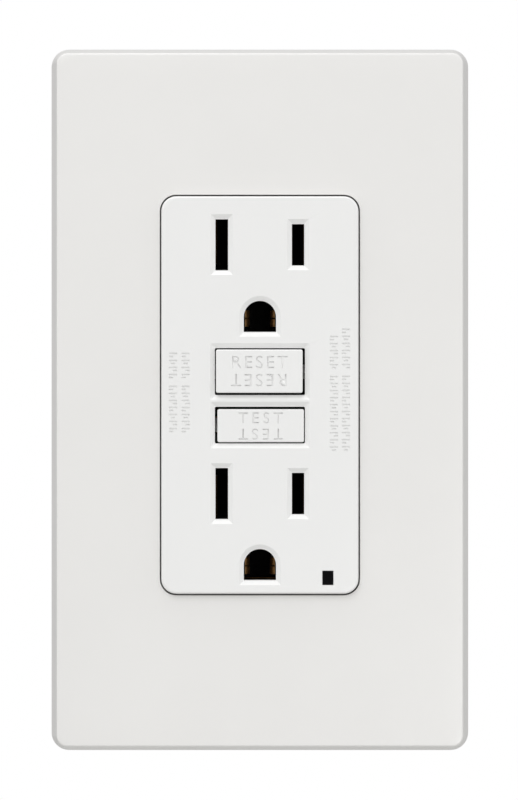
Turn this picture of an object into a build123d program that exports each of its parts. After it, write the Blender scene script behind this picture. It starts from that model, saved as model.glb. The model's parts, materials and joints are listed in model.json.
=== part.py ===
from build123d import *
import os
from math import cos, pi, sin

# GFCI duplex outlet with a screwless clip-on wall plate. Millimetres.
# +X is to the right, +Z is up, and the face looks towards -Y. The wall's surface is the plane y = 0,
# and the origin is on it, midway between the two box screws.

# ---------------------------------------------------------------- driving dimensions
# layers, from the room into the wall
FACE_Y = -7.5            # front of the device's face
PLATE_Y = -6.4           # front of the wall plate
STRAP_T = 1.3            # steel strap, whose back lies on the wall
FRAME_Y = -4.5           # front of the plate's inner frame
TUB_Y = 13.6             # back of the separator's two tubs
BOARD_Y = 23.4           # front of the circuit board
BACK_Y = 27.0            # back of the rear housing

# wall plate
PLATE_W, PLATE_H = 70.2, 118.0
PLATE_DROP = 0.8         # the plate's middle sits this far below the device's middle
PLATE_DRAFT = 1.2        # each side leans in by this much on its way to the front
PLATE_WALL = 1.7
PLATE_R = 3.0
WINDOW_W, WINDOW_H, WINDOW_R = 33.3, 66.7, 2.7

# device outline
NOSE_W, NOSE_H, NOSE_R = 32.8, 66.1, 2.5
BODY_W, BODY_H = 43.0, 68.0
SHELL = 1.6

# plug openings, measured from the device's middle
SLOT_X = 6.35
NEUTRAL_SLOT = (2.1, 8.5)
HOT_SLOT = (2.05, 6.9)
SLOT_Z = (25.0, -16.4)
GROUND_Z = (13.0, -28.3)
GROUND_R, GROUND_FLAT = 2.68, 2.5
LEAD_IN = 0.8            # chamfer around every opening in the face

# buttons
RESET_Z, RESET_W, RESET_H = 3.9, 14.4, 7.2
TEST_Z, TEST_W, TEST_H = -5.0, 14.4, 5.5
BUTTON_GAP = 0.3
RESET_PROUD = 0.5        # the reset button stands out of the face when the outlet has tripped
TEST_SUNK = 0.1
LENS_X, LENS_Z, LENS_W, LENS_H = 11.3, -30.4, 1.85, 2.4

# the latch plate's hole sits this far below the reset pin until the pin shifts it
LATCH_SHIFT = 1.0

# fastening
BOX_SCREW_Z = 83.3 / 2
PLATE_SCREW_Z = 96.8 / 2
SCREW_632_R = 1.75
STRAP_H = 106.5
STRAP_W = 24.0
EAR_SCORE_X = 12.1       # the ears' ends break off along a score line here
BOX_SCREW_NECK_R = 1.45  # plain neck under the head, thinner than the thread, inside the strap's slot

# contacts and terminals
BAR_X, SHEET = 10.4, 0.8
ARM_ROOT_Z, PAD_Z, PAD_R = -9.7, 5.5, 1.4
TERMINAL_Z = 20.0
TERMINAL_Y = 11.0
TERMINAL_X = 14.6
SCREW_R = 2.0

# mechanism
PIN_R, PIN_HEAD_R = 0.9, 1.7
PIN_TIP_Y = 8.8
LATCH_Y = 10.4
COIL_Y = 18.6
CORE_Z = -20.5

SIDES = (("neutral", -1), ("hot", 1))


# ---------------------------------------------------------------- shape helpers
def block(x, y, z):
    """A box from three (low, high) pairs."""
    size = [b - a for a, b in (x, y, z)]
    middle = [(a + b) / 2 for a, b in (x, y, z)]
    return Pos(*middle) * Box(*size)


def prism(sketch, y0, y1):
    """A flat outline in X and Z, pulled through the wall's direction from y0 to y1."""
    return Pos(0, y1, 0) * (Rot(90, 0, 0) * extrude(sketch, amount=y1 - y0))


def rod_y(x, z, r, y0, y1):
    return prism(Pos(x, z) * Circle(r), y0, y1)


def rod_x(y, z, r, x0, x1):
    return Pos((x0 + x1) / 2, y, z) * (Rot(0, 90, 0) * Cylinder(r, abs(x1 - x0)))


def rod_z(x, y, r, z0, z1):
    return Pos(x, y, (z0 + z1) / 2) * Cylinder(r, z1 - z0)


def side_block(side, x, y, z):
    """A box given for the right-hand side, moved to the side asked for."""
    return block(sorted((side * x[0], side * x[1])), y, z)


def rounded(w, h, r):
    return RectangleRounded(w, h, r)


def frustum(outer, inner, y0, y1):
    """A solid that changes from one outline at y0 to another at y1."""
    near = Pos(0, y0, 0) * (Rot(90, 0, 0) * outer)
    far = Pos(0, y1, 0) * (Rot(90, 0, 0) * inner)
    return loft([near.face(), far.face()])


def ground_outline(grow=0.0):
    """A D lying on its flat side: a round top, straight sides and a flat bottom."""
    r = GROUND_R + grow
    drop = GROUND_FLAT + grow
    return Circle(r) - Pos(0, -r) * Rectangle(2 * r, 2 * r) + Pos(0, -drop / 2) * Rectangle(2 * r, drop)


def screw_y(x, z, r, head_r, head, tip, head_t):
    """A screw along Y whose head lies from head to head + head_t, with a cross-shaped drive."""
    front = min(head, head + head_t)
    body = rod_y(x, z, head_r, front, front + abs(head_t))
    body = chamfer(body.edges().group_by(Axis.Y)[0 if head_t > 0 else -1], 0.35)
    body += rod_y(x, z, r, *sorted((head + head_t / 2, tip)))
    outer = head
    for w, h in ((0.9, 1.3 * head_r), (1.3 * head_r, 0.9)):
        body -= prism(Pos(x, z) * Rectangle(w, h), *sorted((outer, outer + head_t * 0.55)))
    return body


def save(name, shape):
    solids = shape.solids()
    whole = solids[0] if len(solids) == 1 else Compound(children=list(solids))
    export_step(whole, f"parts/{name}.step")


# ---------------------------------------------------------------- wall plate
def plate_outline(grow=0.0, radius=PLATE_R):
    return Pos(0, -PLATE_DROP) * rounded(PLATE_W + 2 * grow, PLATE_H + 2 * grow, radius)


def wall_plate_cover():
    front = plate_outline(-PLATE_DRAFT, PLATE_R - 0.6)
    body = frustum(plate_outline(), front, 0, PLATE_Y)
    body = fillet(body.faces().sort_by(Axis.Y)[0].edges(), 0.8)
    inner_front = plate_outline(-PLATE_DRAFT - PLATE_WALL + 0.2, 1.0)
    body -= frustum(plate_outline(-PLATE_WALL, 1.4), inner_front, 0.01, PLATE_Y + PLATE_WALL)
    window = rounded(WINDOW_W, WINDOW_H, WINDOW_R)
    lip = rounded(WINDOW_W + 2.4, WINDOW_H + 2.4, WINDOW_R + 1.2)
    body += prism(lip, PLATE_Y + 1.0, -3.2)
    body -= prism(window, PLATE_Y - 1, 0)
    for side in (-1, 1):
        for z in (-34.0, 32.4):
            body += side_block(side, (32.9, 33.6), (-1.6, -0.9), (z - 4, z + 4))
    return body


def plate_frame():
    """Inner frame that is screwed to the strap and holds the clip-on cover."""
    outline = Pos(0, -PLATE_DROP) * rounded(64.0, 111.5, 2.0)
    hollow = Pos(0, -PLATE_DROP) * rounded(61.0, 108.5, 1.0)
    body = prism(outline, FRAME_Y, -0.05) - prism(hollow, FRAME_Y + 1.8, 0)
    for z in (-1, 1):
        body += block((-9, 9), (FRAME_Y, -STRAP_T - 0.02), sorted((z * 38.0, z * 53.4)))
    body -= block((-22.1, 22.1), (-8, 1), (-35, 35))
    for z in (-1, 1):
        body -= rod_y(0, z * BOX_SCREW_Z, 3.95, -3.6, 0)
        body -= rod_y(0, z * PLATE_SCREW_Z, 1.95, -8, 0)
        cone = frustum(Circle(3.2), Circle(1.8), FRAME_Y - 0.01, FRAME_Y + 1.4)
        body -= Pos(0, 0, z * PLATE_SCREW_Z) * cone
    for side in (-1, 1):
        for z in (-34.0, 32.4):
            body += side_block(side, (31.9, 32.75), (-2.6, -1.75), (z - 3, z + 3))
    return body


def plate_screws():
    group = []
    for z in (-PLATE_SCREW_Z, PLATE_SCREW_Z):
        head = frustum(Circle(3.05), Circle(SCREW_632_R), FRAME_Y + 0.05, FRAME_Y + 1.35)
        shank = rod_y(0, 0, SCREW_632_R, FRAME_Y + 1.35, 6.0)
        slot = block((-3.2, 3.2), (FRAME_Y, FRAME_Y + 0.6), (-0.45, 0.45))
        group.append(Pos(0, 0, z) * (head + shank - slot))
    return Compound(children=group)


# ---------------------------------------------------------------- front of the device
def funnel(outline, wide):
    """The cut for one opening in the face: a straight hole with a lead-in all round."""
    return prism(outline, FACE_Y - 1, 2) + frustum(wide, outline, FACE_Y - 0.001, FACE_Y + LEAD_IN)


def rectangle_cut(w, h):
    return funnel(Rectangle(w, h), Rectangle(w + 2 * LEAD_IN, h + 2 * LEAD_IN))


def slot_cuts():
    cuts = []
    for z in SLOT_Z:
        cuts.append(Pos(-SLOT_X, 0, z) * rectangle_cut(*NEUTRAL_SLOT))
        cuts.append(Pos(SLOT_X, 0, z) * rectangle_cut(*HOT_SLOT))
    for z in GROUND_Z:
        cuts.append(Pos(0, 0, z) * funnel(ground_outline(), ground_outline(LEAD_IN)))
    return cuts


def button_cut(w, h):
    gap = 2 * BUTTON_GAP
    return rectangle_cut(w + gap, h + gap)


def front_cover():
    body = prism(rounded(NOSE_W, NOSE_H, NOSE_R), FACE_Y, -2.0)
    body = fillet(body.faces().sort_by(Axis.Y)[0].edges(), 0.6)
    body += block((-BODY_W / 2, BODY_W / 2), (-2.9, 0), (-BODY_H / 2, BODY_H / 2))
    body -= block((-STRAP_W / 2 - 0.1, STRAP_W / 2 + 0.1), (-STRAP_T - 0.05, 1), (-40, 40))
    body -= block((-14.6, 14.6), (FACE_Y + 1.9, 1), (-31.2, 31.2))
    for z, w, h in ((RESET_Z, RESET_W, RESET_H), (TEST_Z, TEST_W, TEST_H)):
        sleeve = block((-w / 2 - 2.0, w / 2 + 2.0), (FACE_Y + 1, -2.2), (z - h / 2 - 1.1, z + h / 2 + 1.1))
        hollow = block((-w / 2 - 1.2, w / 2 + 1.2), (FACE_Y + 1.9, 1), (z - h / 2 - 0.3, z + h / 2 + 0.3))
        body += sleeve
        body -= hollow
    for z, w, h in ((RESET_Z, RESET_W, RESET_H), (TEST_Z, TEST_W, TEST_H)):
        body -= Pos(0, 0, z) * button_cut(w, h)
    for cut in slot_cuts():
        body -= cut
    body -= Pos(LENS_X, 0, LENS_Z) * prism(Rectangle(LENS_W, LENS_H), FACE_Y - 1, 2)
    for x, z in corners(17.2, 29.9):
        body -= rod_y(x, z, 1.2, -2.4, 1)
    return body


def corners(x, z):
    return [(i * x, j * z) for i in (-1, 1) for j in (-1, 1)]


def button(z, w, h, front, lip_back):
    """A hollow cap with a rounded rim and two stop lips that keep it behind the face."""
    body = block((-w / 2, w / 2), (front, -3.9), (z - h / 2, z + h / 2))
    body = fillet(body.edges().filter_by(Axis.Y), 0.3)
    body = fillet(body.faces().sort_by(Axis.Y)[0].edges(), 0.25)
    body -= block((-w / 2 + 1, w / 2 - 1), (front + 1.6, 0), (z - h / 2 + 1, z + h / 2 - 1))
    for side in (-1, 1):
        body += side_block(side, (w / 2 - 0.9, w / 2 + 0.9), (lip_back - 0.7, lip_back), (z - 1.8, z + 1.8))
    return body


def reset_button():
    body = button(RESET_Z, RESET_W, RESET_H, FACE_Y - RESET_PROUD, -4.8)
    boss = rod_y(0, RESET_Z, 1.8, FACE_Y - RESET_PROUD + 1, -3.9)
    return body + boss - rod_y(0, RESET_Z, PIN_R, -6.0, 0)


def test_button():
    body = button(TEST_Z, TEST_W, TEST_H, FACE_Y + TEST_SUNK, -4.8)
    return body + rod_y(2.0, TEST_Z, 1.2, FACE_Y + TEST_SUNK + 1, 2.0)


def indicator_lens():
    inset = 0.03
    w, h = LENS_W / 2 - inset, LENS_H / 2 - inset
    return block((LENS_X - w, LENS_X + w), (FACE_Y + 0.05, 19.6), (LENS_Z - h, LENS_Z + h))


# ---------------------------------------------------------------- strap and ground path
def mounting_strap():
    half = STRAP_H / 2
    outline = Rectangle(STRAP_W, STRAP_H - 4)
    for z in (-1, 1):
        ear = Pos(0, z * (half - 4.6)) * rounded(31.0, 9.2, 2.5)
        outline += ear
        outline -= Pos(0, z * BOX_SCREW_Z) * SlotOverall(8.2, 3.7)
        outline -= Pos(0, z * PLATE_SCREW_Z) * Circle(SCREW_632_R + 0.05)
        for side in (-1, 1):
            outline -= Pos(side * 10.6, z * (half - 4.6)) * rounded(2.2, 5.4, 1.0)
    for z in SLOT_Z:
        for side in (-1, 1):
            outline -= Pos(side * 6.9, z) * Rectangle(5.4, 11.0)
    for z in GROUND_Z:
        outline -= Pos(0, z) * Rectangle(6.4, 6.4)
        outline -= Pos(0, z + 5.0) * Circle(0.8)
    outline -= Pos(0, -0.2) * Rectangle(17.4, 17.6)
    outline -= Pos(LENS_X, LENS_Z) * Rectangle(LENS_W + 0.6, LENS_H + 0.6)
    outline -= Pos(STRAP_W / 2, LENS_Z) * Rectangle(2.0, LENS_H + 0.6)
    body = prism(outline, -STRAP_T, 0)
    for z in (-1, 1):
        middle = z * (half - 4.6)
        for side in (-1, 1):
            body -= side_block(side, (EAR_SCORE_X, EAR_SCORE_X + 0.4), (-0.3, 1.0), (middle - 5, middle + 5))
    tab = block((STRAP_W / 2 - STRAP_T, STRAP_W / 2), (-0.2, 10.5), (-45.4, -36.0))
    return body + tab - rod_x(5.8, -40.7, SCREW_R, 5, 20)


def ground_contact(z):
    """A brass clip: a base plate behind the strap with two sprung leaves that grip the ground pin."""
    body = block((-3.9, 3.9), (0.05, 0.85), (z - 2.6, z + 6.4))
    body -= block((-1.8, 1.8), (-1, 2), (z - 2.61, z + 2.5))
    body -= rod_y(0, z + 5.0, 0.8, -1, 2)
    for side in (-1, 1):
        leaf = side_block(side, (1.8, 2.25), (-4.9, 9.0), (z - 1.6, z + 1.4))
        body += fillet(leaf.edges().group_by(Axis.Y)[0], 0.15)
    return body


def strap_rivets():
    group = []
    for z in GROUND_Z:
        rivet = rod_y(0, z + 5.0, 0.8, -STRAP_T - 0.01, 0.86)
        rivet += rod_y(0, z + 5.0, 1.5, -STRAP_T - 0.5, -STRAP_T)
        rivet += rod_y(0, z + 5.0, 1.4, 0.85, 1.35)
        group.append(rivet)
    return Compound(children=group)


def box_screws():
    group = []
    for z in (-BOX_SCREW_Z, BOX_SCREW_Z):
        thread = screw_y(0, z, SCREW_632_R, 3.6, -3.2, 28.0, 1.9)
        around_neck = rod_y(0, z, 3.0, -STRAP_T, 0) - rod_y(0, z, BOX_SCREW_NECK_R, -STRAP_T, 0)
        group.append(thread - around_neck)
    return Compound(children=group)


def terminal_screw(r, head_r, under_head, tip, head_t):
    """A screw along X at the origin: shank from tip to under_head, then a slotted head outwards."""
    body = rod_x(0, 0, r, tip, under_head)
    head = rod_x(0, 0, head_r, under_head, under_head + head_t)
    head = chamfer(head.edges().group_by(Axis.X)[-1], 0.3)
    top = under_head + head_t
    body += head
    body -= block((top - 1.0, top + 1), (-head_r, head_r), (-0.5, 0.5))
    body -= block((top - 1.0, top + 1), (-0.5, 0.5), (-0.6 * head_r, 0.6 * head_r))
    return body


def ground_screw():
    return Pos(0, 5.8, -40.7) * terminal_screw(SCREW_R - 0.05, 3.9, STRAP_W / 2 + 0.9, 6.6, 2.0)


# ---------------------------------------------------------------- separator
def separator():
    """Middle moulding: a rim under the strap and two tubs that hold the plug contacts."""
    body = block((-19.6, 19.6), (0.02, 2.2), (-32.2, 32.2))
    for low, high in ((8.7, 32.2), (-32.2, -10.9)):
        body += block((-13, 13), (0.02, TUB_Y), (low, high))
    for side in (-1, 1):
        body += side_block(side, (12.3, 13.0), (0.02, TUB_Y), (-11, 9))
    for low, high in ((9.7, 31.2), (-31.2, -11.9)):
        body -= block((-11.8, 11.8), (-1, TUB_Y - 1), (low, high))
    body -= block((-11.8, 11.8), (-1, 2.3), (-31.2, 31.2))
    body -= block((-12.3, 12.3), (2.2, TUB_Y + 1), (-10.9, 8.7))
    body += block((-8.8, 8.8), (4.2, 5.4), (0.5, 8.8))
    body -= rod_y(0, RESET_Z, PIN_HEAD_R + 0.3, 4, 6)
    body += block((-8.8, 8.8), (4.2, 5.4), (-11.0, -9.9))
    for side in (-1, 1):
        for low, high in ((8.6, 9.8), (-12.0, -10.8)):
            body -= side_block(side, (BAR_X - 0.3, BAR_X + SHEET + 0.3), (-1, 6.3), (low, high))
        body -= side_block(side, (11.7, 13.1), (2.2, 4.0), (TERMINAL_Z - 3.3, TERMINAL_Z + 3.3))
    body -= block((LENS_X - 1.3, 14), (-1, 20), (LENS_Z - 1.5, LENS_Z + 1.5))
    for x, z in corners(17.2, 29.9):
        body -= rod_y(x, z, 1.5, -1, 4)
    return body


# ---------------------------------------------------------------- plug contacts and load terminals
def plug_leaves(side, z):
    """Two leaves that grip one flat blade, joined past the end of the blade."""
    blade = 0.85
    end = z + 5.6 if z > 0 else z - 5.6
    reach = sorted((end, z + (z - end) * 0.5))
    bridge_z = sorted((end, end + (z - end) * 0.12))
    inner = side_block(side, (SLOT_X - blade - 0.5, SLOT_X - blade), (2.5, 9.6), reach)
    outer = side_block(side, (SLOT_X + blade, SLOT_X + blade + 0.5), (2.5, 9.6), reach)
    bridge = side_block(side, (SLOT_X - blade - 0.5, BAR_X + 0.1), (2.5, 5.8), bridge_z)
    return inner + outer + bridge


def contact_bar(side):
    body = side_block(side, (BAR_X, BAR_X + SHEET), (2.4, 5.8), (-22.0, 30.6))
    for z in SLOT_Z:
        body += plug_leaves(side, z)
    body += side_block(side, (9.0, 12.1), (5.0, 5.8), (PAD_Z - 1.7, PAD_Z + 1.7))
    body += side_block(side, (BAR_X, TERMINAL_X + 1.2), (2.4, 3.2), (TERMINAL_Z - 3, TERMINAL_Z + 3))
    neck = side_block(side, (TERMINAL_X, TERMINAL_X + 1.2), (2.4, 6.0), (TERMINAL_Z - 3, TERMINAL_Z + 3))
    return body + neck + terminal_plate(side, TERMINAL_Z)


def terminal_plate(side, z):
    plate = side_block(side, (TERMINAL_X, TERMINAL_X + 1.2), (5.2, 16.0), (z - 5.4, z + 5.4))
    return plate - rod_x(TERMINAL_Y, z, SCREW_R, side * 10, side * 20)


def line_terminal(side):
    """Supply terminal: a screw plate whose tab runs behind the lower tub to a pin through the sensing rings."""
    z = -TERMINAL_Z
    body = terminal_plate(side, z)
    body += side_block(side, (1.0, TERMINAL_X + 1.2), (13.9, 14.7), (z - 2.0, z + 1.0))
    return body + side_block(side, (1.0, 1.8), (13.9, BOARD_Y), (z - 1.2, z + 0.2))


def clamp_plates(side):
    group = []
    for z in (TERMINAL_Z, -TERMINAL_Z):
        plate = side_block(side, (18.0, 19.2), (TERMINAL_Y - 4, TERMINAL_Y + 4), (z - 4.6, z + 4.6))
        plate = fillet(plate.edges().filter_by(Axis.X), 0.6)
        group.append(plate - rod_x(TERMINAL_Y, z, SCREW_R + 0.1, side * 10, side * 22))
    return Compound(children=group)


def terminal_screws(side):
    group = []
    for z in (TERMINAL_Z, -TERMINAL_Z):
        screw = terminal_screw(SCREW_R - 0.02, 3.9, 19.25, 13.95, 2.0)
        if side < 0:
            screw = mirror(screw, about=Plane.YZ)
        group.append(Pos(0, TERMINAL_Y, z) * screw)
    return Compound(children=group)


def fixed_pads():
    group = [rod_y(side * 10.6, PAD_Z, PAD_R, 5.8, 6.6) for side in (-1, 1)]
    return Compound(children=group)


# ---------------------------------------------------------------- switching mechanism
def contact_arm(side):
    arm = side_block(side, (9.2, 12.0), (8.3, 8.9), (ARM_ROOT_Z, 7.4))
    return fillet(arm.edges().filter_by(Axis.Y), 0.4)


def arm_pad(side):
    return rod_y(side * 10.6, PAD_Z, PAD_R, 7.65, 8.3)


def arm_posts():
    group = [side_block(side, (9.4, 11.8), (9.2, BOARD_Y), (-10.7, -9.9)) for side in (-1, 1)]
    return Compound(children=group)


def carriage():
    """Plastic slide that lifts both contact arms. It holds the latch plate in a slot across its bore."""
    body = block((-8, 8), (8, 14), (-0.2, 6.2))
    for side in (-1, 1):
        body += side_block(side, (7.9, 12.0), (9.65, 11.0), (3.4, 6.2))
    body = fillet(body.edges().filter_by(Axis.Y).group_by(Axis.X)[0], 0.3)
    body -= rod_y(0, RESET_Z, PIN_HEAD_R + 0.45, 7, 15)
    return body - block((-5.2, 5.2), (LATCH_Y - 0.15, LATCH_Y + 0.95), (-1, 7))


def latch_plate():
    """Keyhole plate that slides upwards, bent back into a fork around the plunger's neck."""
    plate = block((-5, 5), (LATCH_Y, LATCH_Y + 0.8), (-0.6, 7.2))
    plate -= rod_y(0, RESET_Z - LATCH_SHIFT, 2.0, 10, 12)
    fork = block((-2.6, 2.6), (LATCH_Y, 20.8), (6.4, 7.2))
    fork -= block((-1.2, 1.2), (15.6, 21), (6, 8))
    return plate + fork


def reset_pin():
    """Steel pin with a cone-shaped head that shifts the latch plate as it passes through."""
    shank = rod_y(0, RESET_Z, PIN_R - 0.01, -5.99, PIN_TIP_Y - 0.7)
    flange = rod_y(0, RESET_Z, PIN_HEAD_R, PIN_TIP_Y - 0.7, PIN_TIP_Y - 0.5)
    cone = frustum(Circle(PIN_HEAD_R), Circle(0.9), PIN_TIP_Y - 0.5, PIN_TIP_Y)
    return shank + flange + Pos(0, 0, RESET_Z) * cone


def spring(radius, wire, length, turns):
    """A round-wire compression spring standing on Z from 0 to length."""
    path = Helix(pitch=length / turns, height=length, radius=radius)
    section = Plane(origin=path @ 0, z_dir=path % 0) * Circle(wire)
    return sweep(section, path=path, is_frenet=True)


def reset_spring():
    coil = spring(2.6, 0.28, 6.9, 6)
    return Pos(0, 3.6, RESET_Z) * (Rot(90, 0, 0) * coil)


def plunger():
    """Steel plunger. Its neck sits in the latch plate's fork, so the two move together."""
    body = rod_z(0, COIL_Y, 1.9, 7.5, 24.0)
    body += rod_z(0, COIL_Y, 1.0, 6.0, 7.6)
    return body + rod_z(0, COIL_Y, 1.9, 4.9, 6.1)


def plunger_spring():
    coil = spring(2.35, 0.22, 4.0, 5)
    return Pos(0, COIL_Y, 8.4) * coil


def solenoid_bobbin():
    body = rod_z(0, COIL_Y, 2.5, 14.2, 27.8)
    for low, high in ((14.2, 15.2), (26.8, 27.8)):
        body += rod_z(0, COIL_Y, 4.3, low, high)
    return body - rod_z(0, COIL_Y, 2.0, 14, 28)


def solenoid_winding():
    return rod_z(0, COIL_Y, 4.0, 15.22, 26.78) - rod_z(0, COIL_Y, 2.52, 15, 27)


def solenoid_frame():
    body = block((-5.6, 5.6), (14.2, 23.0), (13.0, 29.0))
    body -= block((-4.6, 4.6), (14, 23.1), (14.1, 27.9))
    return body - rod_z(0, COIL_Y, 2.1, 12, 14.5)


def test_arm():
    """Springy brass strip that the test button bends against the test contact."""
    return block((-7.6, 5.4), (2.25, 2.65), (TEST_Z - 1.4, TEST_Z + 1.4))


def test_contact():
    foot = block((3.4, 5.2), (4.25, 4.85), (TEST_Z - 1.2, TEST_Z + 1.2))
    return foot + block((3.4, 4.0), (4.25, BOARD_Y), (TEST_Z - 1.2, TEST_Z - 0.6))


# ---------------------------------------------------------------- sensing rings and circuit board
def ring(inner, outer, y0, y1):
    return rod_y(0, CORE_Z, outer, y0, y1) - rod_y(0, CORE_Z, inner, y0 - 1, y1 + 1)


def wound_ring(y0, y1):
    """Insulated winding that wraps a ring core on all sides, with a wavy outline of turns."""
    body = ring(2.6, 7.9, y0, y1)
    for n in range(24):
        angle = 2 * pi * n / 24
        body -= rod_y(7.95 * cos(angle), CORE_Z + 7.95 * sin(angle), 0.3, y0 - 1, y1 + 1)
    return body - ring(3.35, 7.05, y0 + 0.6, y1 - 0.6)


def ring_core(y0, y1):
    return ring(3.4, 7.0, y0 + 0.65, y1 - 0.65)


def circuit_board():
    body = block((-12.8, 12.8), (BOARD_Y, BOARD_Y + 1.6), (-31.5, 31.5))
    return body + block((-19.4, 19.4), (BOARD_Y, BOARD_Y + 1.6), (-12.2, 12.2))


def controller_chip():
    body = block((-17.0, -13.4), (21.7, 23.0), (-3.0, 5.0))
    for n in range(6):
        z = -2.2 + n * 1.28
        for side in (-1, 1):
            middle = -15.2 + side * 2.3
            body += block((middle - 0.55, middle + 0.55), (22.4, BOARD_Y), (z - 0.25, z + 0.25))
    return body


def thyristor():
    body = block((14.4, 18.6), (16.6, 20.2), (-8.0, -3.6))
    for n in (-1, 0, 1):
        body += block((16.3 + n * 1.27, 16.7 + n * 1.27), (20.1, BOARD_Y), (-6.0, -5.6))
    return body


def varistor():
    disc = Pos(16.4, 18.4, 3.0) * (Rot(0, 90, 0) * Cylinder(4.2, 2.6))
    disc = fillet(disc.edges(), 0.8)
    for z in (0.8, 5.2):
        disc += rod_y(16.4, z, 0.35, 20.5, BOARD_Y)
    return disc


def capacitors():
    group = []
    for x, z in ((-16.6, 9.2), (-16.6, -8.6)):
        can = rod_y(x, z, 2.4, 16.4, BOARD_Y)
        group.append(fillet(can.edges().group_by(Axis.Y)[0], 0.4))
    return Compound(children=group)


def axial_part(x, z, radius, length):
    """A small round body lying along Z with bent wire legs that stand on the board."""
    y = BOARD_Y - radius - 0.4
    body = fillet(rod_z(x, y, radius, z - length / 2, z + length / 2).edges(), 0.25 * radius)
    for end in (-1, 1):
        tip = z + end * (length / 2 + 1.2)
        body += rod_z(x, y, 0.25, *sorted((z + end * length * 0.4, tip)))
        body += rod_y(x, tip - end * 0.25, 0.25, y - 0.2, BOARD_Y)
    return body


def diodes():
    return Compound(children=[axial_part(x, -7.0, 1.0, 4.0) for x in (-12.4, -9.0, 9.0)])


def resistors():
    return Compound(children=[axial_part(x, 9.0, 0.85, 3.4) for x in (-11.6, -8.6, 8.6, 11.6)])


def led():
    body = rod_y(LENS_X, LENS_Z + 0.6, 1.5, 19.8, 22.4)
    body = fillet(body.edges().group_by(Axis.Y)[0], 0.8)
    for side in (-1, 1):
        body += block((LENS_X + side * 0.8 - 0.2, LENS_X + side * 0.8 + 0.2), (22.3, BOARD_Y), (-30.0, -29.6))
    return body


# ---------------------------------------------------------------- rear housing
def rear_housing():
    """Deep back shell with four recesses for the wire terminals."""
    body = block((-BODY_W / 2, BODY_W / 2), (0.05, BACK_Y), (-BODY_H / 2, BODY_H / 2))
    body = fillet(body.edges().filter_by(Axis.Y), 1.5)
    body = fillet(body.faces().sort_by(Axis.Y)[-1].edges(), 1.0)
    body -= block((-19.9, 19.9), (-1, BACK_Y - SHELL), (-32.4, 32.4))
    for x, z in corners(17.2, 29.9):
        body += rod_y(x, z, 2.8, 2.3, BACK_Y - 0.5)
    for side in (-1, 1):
        for z in (-TERMINAL_Z, TERMINAL_Z):
            body += side_block(side, (13.2, 21.5), (3.6, BACK_Y - 1), (z - 7.4, z + 7.4))
            body = body - terminal_recess(side, z)
    for x, z in corners(17.2, 29.9):
        body -= rod_y(x, z, 1.35, 0, BACK_Y + 1)
        body -= rod_y(x, z, 2.6, BACK_Y - 1.6, BACK_Y + 1)
    return body


def terminal_recess(side, z):
    cut = side_block(side, (14.4, 22.5), (4.8, 18.0), (z - 6.2, z + 6.2))
    cut += rod_x(TERMINAL_Y, z, 2.4, side * 13.7, side * 16)
    if z > 0:
        cut += side_block(side, (13.1, 16.0), (3.0, 4.9), (z - 3.3, z + 3.3))
    else:
        cut += side_block(side, (13.1, 14.6), (3.0, 14.9), (z - 3.2, z + 2.2))
    for dz in (-3.2, 3.2):
        cut += rod_y(side * 16.9, z + dz, 1.4, 17, BACK_Y + 1)
    return cut


def assembly_screws():
    group = []
    for x, z in corners(17.2, 29.9):
        group.append(screw_y(x, z, 1.18, 2.4, BACK_Y - 0.1, -2.2, -1.4))
    return Compound(children=group)


# ---------------------------------------------------------------- the whole outlet
def build():
    save("wall_plate_cover", wall_plate_cover())
    save("wall_plate_frame", plate_frame())
    save("plate_screws", plate_screws())
    save("front_cover", front_cover())
    save("reset_button", reset_button())
    save("test_button", test_button())
    save("indicator_lens", indicator_lens())
    save("mounting_strap", mounting_strap())
    save("ground_contact_upper", ground_contact(GROUND_Z[0]))
    save("ground_contact_lower", ground_contact(GROUND_Z[1]))
    save("strap_rivets", strap_rivets())
    save("box_screws", box_screws())
    save("ground_screw", ground_screw())
    save("separator", separator())
    for name, side in SIDES:
        save(f"{name}_contact_bar", contact_bar(side))
        save(f"{name}_line_terminal", line_terminal(side))
        save(f"{name}_clamp_plates", clamp_plates(side))
        save(f"{name}_terminal_screws", terminal_screws(side))
        save(f"{name}_contact_arm", contact_arm(side))
        save(f"{name}_arm_pad", arm_pad(side))
    save("fixed_pads", fixed_pads())
    save("arm_posts", arm_posts())
    save("carriage", carriage())
    save("latch_plate", latch_plate())
    save("reset_pin", reset_pin())
    save("reset_spring", reset_spring())
    save("plunger", plunger())
    save("plunger_spring", plunger_spring())
    save("solenoid_bobbin", solenoid_bobbin())
    save("solenoid_winding", solenoid_winding())
    save("solenoid_frame", solenoid_frame())
    save("test_arm", test_arm())
    save("test_contact", test_contact())
    for name, y0 in (("sensing", 15.0), ("balance", 19.0)):
        save(f"{name}_core", ring_core(y0, y0 + 3.8))
        save(f"{name}_winding", wound_ring(y0, y0 + 3.8))
    save("circuit_board", circuit_board())
    save("controller_chip", controller_chip())
    save("thyristor", thyristor())
    save("varistor", varistor())
    save("capacitors", capacitors())
    save("diodes", diodes())
    save("resistors", resistors())
    save("led", led())
    save("rear_housing", rear_housing())
    save("assembly_screws", assembly_screws())


os.makedirs("parts", exist_ok=True)
build()
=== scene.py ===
# Ground-fault duplex outlet in a screwless wall plate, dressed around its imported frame.
import json
import logging
import math
from dataclasses import dataclass, replace
from enum import Enum

import bmesh
import bpy
from mathutils import Matrix, Vector

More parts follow.
